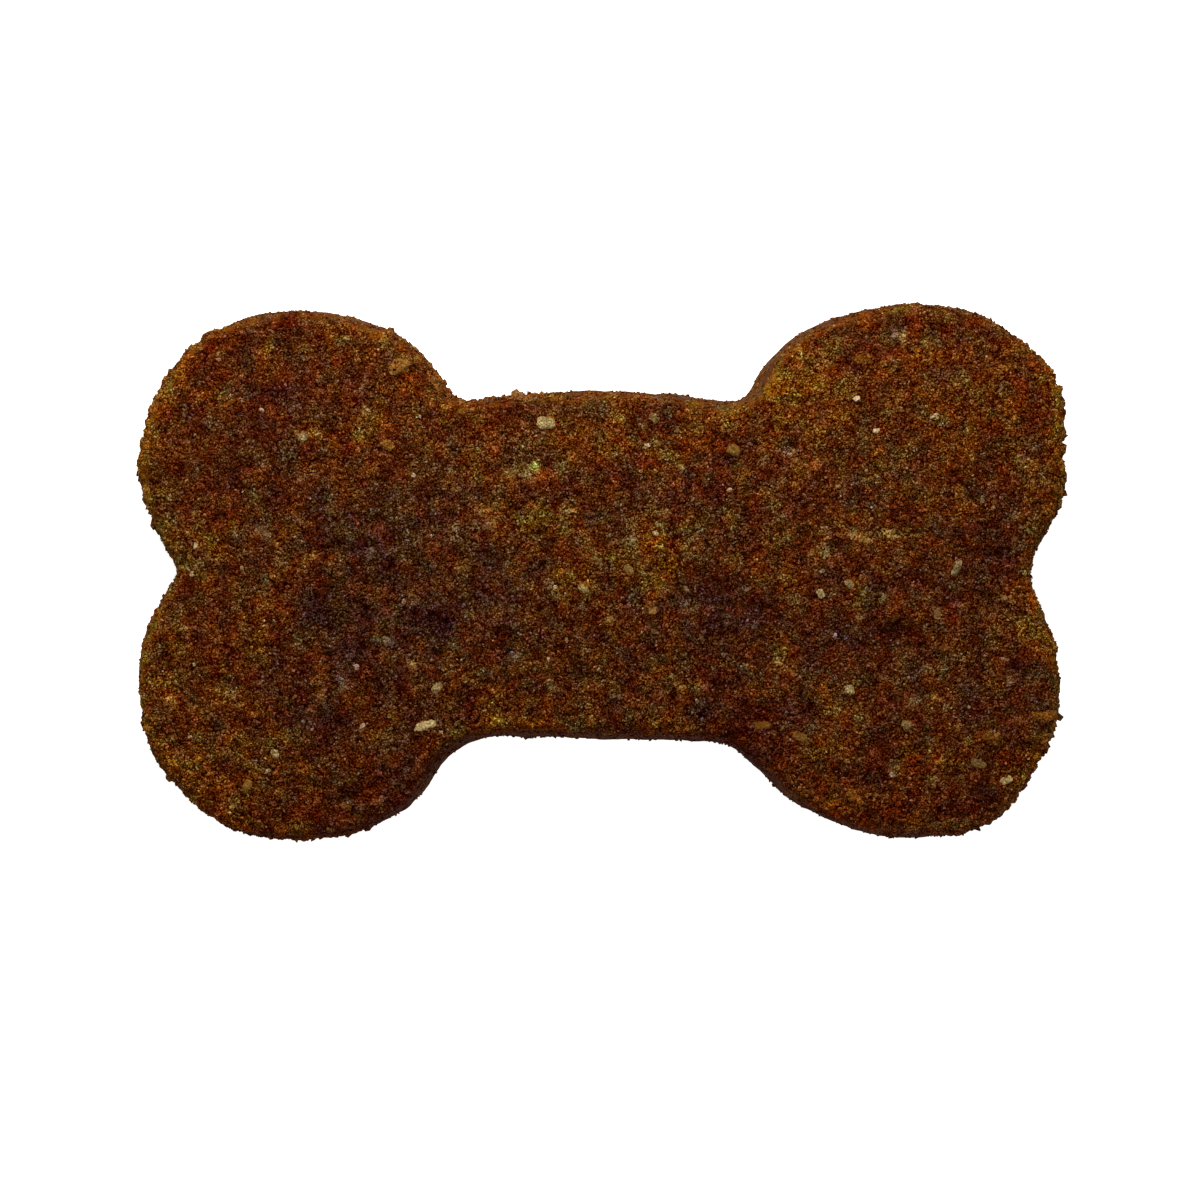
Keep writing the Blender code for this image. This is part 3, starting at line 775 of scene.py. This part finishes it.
def clearOfBits(spots):
    # crumbs keep off the flakes and nubs, apart from their edges
    clear = np.ones(len(spots), bool)
    for kind in placedBits.values():
        for x, y, length, width, turn, _ in kind["bits"]:
            aside = (spots[:, :2] - np.array(mm(x, y))) / mm(1)
            angle = math.radians(turn)
            along = aside[:, 0] * math.cos(angle) + aside[:, 1] * math.sin(angle)
            across = aside[:, 1] * math.cos(angle) - aside[:, 0] * math.sin(angle)
            clear &= np.hypot(along / length, across / width) > kind["clear"]
    return clear


def scatterCrumbs(name, look):
    rng = np.random.default_rng(look["seed"])
    weights = crumbWeights(look)
    spots, normals, carried = scatterSpots(weights, look["count"], look["spacing"], look["seed"], rng)
    clear = clearOfBits(spots)
    spots, normals = spots[clear], normals[clear]
    carried = {label: values[clear] for label, values in carried.items()}
    mesh, grain = grainMesh(name, spots, normals, look, rng)
    tone = np.clip(rng.normal(*look["tone"], len(spots)) + carried["toneShift"], 0, 1)
    addAttribute(mesh, "tone", np.repeat(tone, grain))
    addAttribute(mesh, "tint", np.repeat(tintOf(carried), grain, axis=0))
    print(name, "strewn:", len(spots), "grains,", len(mesh.polygons), "triangles")
    return meshObject(name, mesh)


# Flakes, nubs and flecks that stand out, each in its own place: x, y, length, width in mm, direction in
# degrees, and tone from 0 to 1. Thickness is a share of the width, raised the share above the dough, shaded
# how far a bit follows the shade of its place, and clear how near its middle crumbs may lie
placedBits = {
    "bran_flakes": {
        "thickness": 0.42, "raised": 0.30, "boxiness": 0.78, "seed": 31, "shaded": 0.3, "clear": 0.40,
        "fineness": 3, "lobes": 0.13, "knobs": 0.09, "toneSwing": 0.10,
        "bits": (
            (-11.1, -9.7, 1.50, 0.65, 18, 1.00),
            (-3.5, 9.3, 1.25, 0.90, -5, 0.80),
            (8.3, 7.6, 0.95, 0.85, -20, 0.15),
            (3.3, 9.6, 0.75, 0.60, 130, 0.60),
            (22.2, 0.2, 1.15, 0.60, 62, 0.62),
            (13.7, -1.4, 0.70, 0.60, 125, 0.85),
            (15.5, -0.8, 0.75, 0.55, 125, 0.45),
            (21.0, -2.7, 0.90, 0.60, 88, 0.35),
            (15.5, -7.4, 0.80, 0.70, 105, 0.70),
            (10.1, -9.7, 1.10, 0.65, 4, 0.15),
            (12.5, -10.4, 1.15, 0.70, -25, 0.00),
            (19.1, -9.6, 0.80, 0.65, -20, 0.35),
            (23.6, -12.1, 1.20, 0.65, -20, 0.45),
            (25.4, -13.1, 0.85, 0.60, 20, 0.85),
            (-10.3, -7.3, 0.80, 0.65, 50, 0.60),
            (-22.2, -13.4, 0.95, 0.65, 65, 0.40),
            (-18.7, 8.4, 0.75, 0.60, 12, 0.65),
            (-1.1, -1.1, 0.85, 0.55, -30, 0.60),
            (1.7, 0.1, 0.80, 0.60, -50, 0.45),
        ),
    },
    "amber_nubs": {
        "thickness": 0.60, "raised": 0.12, "boxiness": 0.95, "seed": 32, "shaded": 0.5, "clear": 0.20,
        "fineness": 4, "lobes": 0.14, "knobs": 0.16, "toneSwing": 0.10,
        "bits": (
            (-12.7, 12.8, 1.40, 1.10, 10, 0.60),
            (16.3, 13.3, 1.40, 1.00, 5, 0.35),
            (15.9, -14.2, 1.45, 0.80, -37, 0.45),
            (27.7, -9.1, 1.75, 0.80, 4, 0.40),
            (24.5, -10.4, 1.45, 1.05, -25, 0.55),
            (26.4, -4.3, 1.00, 0.70, -50, 0.55),
            (-16.0, -14.8, 0.90, 0.75, 5, 0.45),
            (-13.4, 8.0, 1.15, 0.75, -40, 0.55),
            (-8.7, 0.1, 1.10, 0.80, 22, 0.85),
            (0.6, -3.0, 1.10, 0.75, 22, 0.90),
            (3.1, -2.5, 1.00, 0.65, 7, 1.00),
        ),
    },
    "small_flecks": {
        "thickness": 0.55, "raised": 0.28, "boxiness": 0.85, "seed": 33, "shaded": 0.5, "clear": 0.34,
        "fineness": 2, "lobes": 0.16, "knobs": 0.12, "toneSwing": 0.12,
        "bits": (
            (16, 10.8, 0.60, 0.45, 0, 1.00),
            (17.2, 8.8, 0.55, 0.45, 0, 0.85),
            (20.8, 9.7, 0.95, 0.28, 29, 0.75),
            (2.9, 7.9, 0.50, 0.35, 0, 0.90),
            (14.8, 5.3, 0.45, 0.42, 0, 0.55),
            (8, 5.1, 0.50, 0.30, 17, 0.55),
            (3.4, 2.4, 0.65, 0.34, -34, 0.70),
            (13.8, 0, 0.45, 0.34, 29, 0.60),
            (14.6, -4, 0.42, 0.30, 24, 0.65),
            (25.3, -1.7, 0.55, 0.40, 0, 0.60),
            (25.3, -5.5, 0.65, 0.32, -8, 0.60),
            (23, -8.5, 0.32, 0.28, 0, 0.80),
            (18.2, -12.7, 0.55, 0.42, 130, 0.60),
            (5.3, -1.1, 0.65, 0.42, 119, 0.55),
            (-2.9, -1, 0.42, 0.36, 0, 0.65),
            (-3.3, -5.5, 0.45, 0.26, 99, 0.75),
            (-2.2, -4.3, 0.42, 0.32, 100, 0.60),
            (-10.1, -10.1, 0.55, 0.38, 163, 0.60),
            (-12.4, -1.9, 0.42, 0.28, 82, 0.60),
            (-15.4, -6, 0.55, 0.52, 0, 0.80),
            (-15, -9.7, 0.55, 0.38, 43, 0.85),
            (-20.4, -11.4, 0.85, 0.60, 118, 0.55),
            (-20.9, -12.5, 0.50, 0.36, 36, 0.80),
            (-25.8, -10.4, 0.34, 0.34, 0, 0.75),
            (-25.5, -5.8, 0.42, 0.30, 27, 0.55),
            (-26.1, -3.6, 0.45, 0.30, 103, 0.60),
            (-25.7, -0.2, 0.55, 0.45, 52, 0.70),
            (-22.5, 0.2, 0.42, 0.34, 97, 0.60),
            (-25.5, 1.6, 0.52, 0.40, 80, 0.65),
            (-22.9, 2.8, 0.38, 0.30, 37, 0.85),
            (-11.8, 6, 0.42, 0.38, 72, 0.65),
            (-21.3, 10.1, 0.50, 0.36, 164, 0.75),
        ),
    },
}

crumbObjects = {name: scatterCrumbs(name, look) for name, look in crumbKinds.items()}


doughTree = BVHTree.FromPolygons(skin["points"].tolist(), skin["corners"].tolist())
bitLook = {
    "lookFrom": 20,                 # mm above the ground, from where a seat is looked for
    "upright": 2,                   # how much more a bit faces up than its seat does
    "trim": (0.92, 0.84),           # of length and width, which the lumps make up for
    "flatness": (0.6, 0.4),         # shares of the thickness that stay even and that follow the lumps
    "lobeScale": 3.4, "knobScale": 9.0, "swing": 2,
}


def lumpsOf(point, place, kind):
    # how far a bit's surface stands out in one direction: a few lobes, and finer knobs on them
    lobes = noise.noise(point * bitLook["lobeScale"] + place)
    knobs = noise.noise(point * bitLook["knobScale"] + place)
    return 1 + bitLook["swing"] * (kind["lobes"] * lobes + kind["knobs"] * knobs)


def placeBits(name, kind):
    # a seat is found by looking straight down on the dough, and the bit is bedded in it
    ball, faces = ballShape(kind["fineness"])
    rng = np.random.default_rng(kind["seed"])
    points, tones, tints = [], [], []
    trimLength, trimWidth = bitLook["trim"]
    even, uneven = bitLook["flatness"]
    for x, y, length, width, turn, tone in kind["bits"]:
        spot, normal = doughTree.ray_cast(Vector(mm(x, y, bitLook["lookFrom"])), Vector((0, 0, -1)))[:2]
        facing = (normal + Vector((0, 0, bitLook["upright"]))).normalized()
        thickness = width * kind["thickness"]
        seat = Matrix.Translation(spot + facing * mm(thickness * (kind["raised"] - 0.5)))
        seat @= Vector((0, 0, 1)).rotation_difference(facing).to_matrix().to_4x4()
        seat @= Matrix.Rotation(math.radians(turn), 4, "Z")
        boxed = np.sign(ball) * np.abs(ball * 2) ** kind["boxiness"] / 2
        lumpy = np.array([lumpsOf(Vector(point), Vector((x, y, 3)), kind) for point in ball])
        boxed *= np.array([mm(length) * trimLength, mm(width) * trimWidth, mm(thickness)])
        boxed *= np.stack((lumpy, lumpy, even + uneven * lumpy), axis=1)
        points.append(boxed @ np.array(seat.to_3x3()).T + np.array(seat.translation))
        tones.append(np.full(len(ball), tone + rng.normal(0, kind["toneSwing"])))
        shade, rust = shadeAt(mm(x), mm(y))
        steps = {"shade": shade * kind["shaded"], "rust": rust * kind["shaded"], "olive": 0, "pale": 0}
        tints.append(np.repeat(tintOf(steps), len(ball), axis=0))
    count = len(kind["bits"])
    corners = (faces[None] + (np.arange(count) * len(ball))[:, None, None]).reshape(-1, 3)
    mesh = bpy.data.meshes.new(name)
    mesh.from_pydata(np.concatenate(points), [], corners)
    mesh.shade_flat()
    addAttribute(mesh, "tone", np.concatenate(tones))
    addAttribute(mesh, "tint", np.concatenate(tints))
    return meshObject(name, mesh)


bitObjects = {name: placeBits(name, kind) for name, kind in placedBits.items()}
print("flakes, nubs and flecks bedded in")


# Materials. Oven-baked dough is dull: a diffuse surface of mixed browns with hardly any gloss.
# Its deep places are maroon and its crumbs paler and less red the further they stand out

doughLook = {
    "tone": 0.38,
    "mottles": ((mm(0.34), 0.31), (mm(0.10), 0.50)),    # size and strength of each noise
    "stops": ((0.00, "#170000"), (0.20, "#280700"), (0.40, "#3e1a00"), (0.60, "#56320c"), (0.80, "#704e2c"),
              (1.00, "#8c6e56")),
    "parts": {"shoulder": ("#6c470e", 0.65), "wall": ("#4b2f16", 0.60), "base": ("#66401a", 0.75)},
    "speckleSize": mm(0.20), "speckle": (0.80, 1.20),   # darkest and lightest factor
    "roughness": 0.92, "specular": 0.01, "bumpStrength": 0.7, "bumpDepth": mm(0.09), "bumpSize": mm(0.17),
}

crumbLook = {
    "mottles": ((mm(0.10), 0.44),), "speckles": mm(0.13, 0.40), "lightSpeckle": 0.6,
    "roughness": 0.88, "specular": 0.01, "bumpStrength": 0.7, "bumpDepth": mm(0.035), "bumpSize": mm(0.10),
}

# Every noise: how fine and how rough it is, and the share of its range cut off at both ends, where it is rare
noiseLook = {"detail": 2.0, "roughness": 0.6, "mottleTrim": 0.30, "speckleTrim": 0.32}

# The material of each piece, its colours from deep to pale, and how speckled it is
crumbLooks = {
    # toasted dough: maroon in its pores, tan where it stands out
    "coarse_crumbs": ("toastedDoughCrumb", (
        (0.00, "#240300"), (0.14, "#361100"), (0.28, "#4a2601"), (0.43, "#603c13"), (0.60, "#775638"),
        (0.80, "#91745c"), (1.00, "#aa907e"))),
    # ground spice: a little more orange
    "rusty_crumbs": ("rustySpiceCrumb", (
        (0.00, "#260300"), (0.14, "#3a1000"), (0.28, "#4f2400"), (0.43, "#653a0f"), (0.60, "#7d5434"),
        (0.80, "#957258"), (1.00, "#aa8e7a"))),
    # fine meal: a little greener
    "fine_crumbs": ("oliveMealCrumb", (
        (0.00, "#230400"), (0.14, "#351200"), (0.28, "#492801"), (0.43, "#5e3f13"), (0.60, "#765939"),
        (0.80, "#90775e"), (1.00, "#aa9280"))),
    # dough that the cutter tore at the rim, browned by the oven
    "rim_crumbs": ("tornRimCrumb", (
        (0.00, "#2c0700"), (0.14, "#401400"), (0.28, "#562c04"), (0.43, "#6a4416"), (0.60, "#805b30"),
        (0.80, "#98774e"), (1.00, "#ae9068"))),
    # bran dust: straw to cream
    "pale_specks": ("paleBranSpeck", (
        (0.00, "#46290e"), (0.35, "#6a4a28"), (0.70, "#8c6e4c"), (1.00, "#b8a080"))),
    # flat husks of bran: amber to straw
    "bran_flakes": ("wheatBranFlake", (
        (0.00, "#744a0c"), (0.15, "#6c4c1a"), (0.45, "#6e5832"), (0.80, "#908056"), (1.00, "#b4a270")), 0.46),
    # denser lumps of dough that the oven turned amber
    "amber_nubs": ("caramelNub", (
        (0.10, "#4e240a"), (0.40, "#6e4212"), (0.60, "#8c5e1c"), (0.90, "#7a6238")), 0.60),
    # coarse meal: straw to cream
    "small_flecks": ("mealFleck", (
        (0.00, "#5e3e0a"), (0.30, "#6e5226"), (0.65, "#927c58"), (1.00, "#c4b29c")), 0.36),
}


def noiseBetween(tree, place, size, low, high, trim):
    # a fine noise of some size that runs from low to high
    look = {"Scale": 1 / size, "Detail": noiseLook["detail"], "Roughness": noiseLook["roughness"]}
    grain = addNode(tree, "TexNoise", look, {"Vector": place})
    limits = {"From Min": trim, "From Max": 1 - trim, "To Min": low, "To Max": high}
    return addNode(tree, "MapRange", limits, {"Value": grain.outputs["Fac"]}).outputs[0]


def unevenTone(tree, place, tone, mottles):
    # a tone with noise of each size added
    for size, strength in mottles:
        sway = noiseBetween(tree, place, size, -strength, strength, noiseLook["mottleTrim"])
        tone = addNode(tree, "Math", {"operation": "ADD"}, {"Value": tone, "Value_001": sway}).outputs[0]
    return tone


def speckled(tree, place, colour, size, low, high):
    # the finest grain, too small to model, lightens and darkens the colour
    factor = noiseBetween(tree, place, size, low, high, noiseLook["speckleTrim"])
    return addNode(tree, "VectorMath", {"operation": "SCALE"}, {"Vector": colour, "Scale": factor}).outputs[0]


def tinted(tree, colour):
    # a colour times the tint of its place
    tint = addNode(tree, "Attribute", {"attribute_name": "tint"}).outputs["Vector"]
    product = addNode(tree, "VectorMath", {"operation": "MULTIPLY"}, {"Vector": colour})
    tree.links.new(tint, product.inputs[1])
    return product.outputs[0]


def finishMaterial(tree, shader, colour, look, place):
    scale = {"Scale": 1 / look["bumpSize"], "Detail": noiseLook["detail"]}
    grain = addNode(tree, "TexNoise", scale, {"Vector": place}).outputs["Fac"]
    depth = {"Strength": look["bumpStrength"], "Distance": look["bumpDepth"]}
    bump = addNode(tree, "Bump", depth, {"Height": grain})
    tree.links.new(bump.outputs[0], shader.inputs["Normal"])
    tree.links.new(colour, shader.inputs["Base Color"])
    shader.inputs["Roughness"].default_value = look["roughness"]
    shader.inputs["Specular IOR Level"].default_value = look["specular"]


def bakedDoughMaterial(look):
    # baked wholemeal dough: matt, mottled from maroon to tan, browner where the oven caught its edge
    material, tree, shader = newMaterial("bakedWholemealDough")
    place = addNode(tree, "TexCoord").outputs["Object"]
    shift = addNode(tree, "Attribute", {"attribute_name": "toneShift"}).outputs["Fac"]
    tone = addNode(tree, "Math", {"operation": "ADD", "Value_001": look["tone"]}, {"Value": shift}).outputs[0]
    tone = unevenTone(tree, place, tone, look["mottles"])
    colour = addNode(tree, "ValToRGB", {"stops": look["stops"]}, {"Fac": tone}).outputs[0]
    for name, (code, most) in look["parts"].items():
        there = addNode(tree, "Attribute", {"attribute_name": name}).outputs["Fac"]
        share = {"operation": "MULTIPLY", "Value_001": most}
        amount = addNode(tree, "Math", share, {"Value": there}).outputs[0]
        colour = addNode(tree, "Mix", {"data_type": "RGBA", "B_Color": hexLinear(code)},
                         {"Factor_Float": amount, "A_Color": colour}).outputs[2]
    colour = speckled(tree, place, colour, look["speckleSize"], *look["speckle"])
    finishMaterial(tree, shader, tinted(tree, colour), look, place)
    return material


def crumbMaterial(name, stops, speckle=0.0):
    # a dry crumb: its own tone and the tint of its place from attributes, uneven within itself, and matt
    material, tree, shader = newMaterial(name)
    place = addNode(tree, "TexCoord").outputs["Object"]
    tone = addNode(tree, "Attribute", {"attribute_name": "tone"}).outputs["Fac"]
    tone = unevenTone(tree, place, tone, crumbLook["mottles"])
    colour = addNode(tree, "ValToRGB", {"stops": stops}, {"Fac": tone}).outputs[0]
    if speckle:
        for size in crumbLook["speckles"]:
            light = 1 + crumbLook["lightSpeckle"] * speckle
            colour = speckled(tree, place, colour, size, 1 - speckle, light)
    finishMaterial(tree, shader, tinted(tree, colour), crumbLook, place)
    return material


doughObject.data.materials.clear()
doughObject.data.materials.append(bakedDoughMaterial(doughLook))
for name, thing in {**crumbObjects, **bitObjects}.items():
    thing.data.materials.append(crumbMaterial(*crumbLooks[name]))
print("materials made")


# Every piece rides on the one body and stands for the CAD node
for thing in (doughObject, *crumbObjects.values(), *bitObjects.values()):
    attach(thing, "root")
    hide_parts("dog_chew")
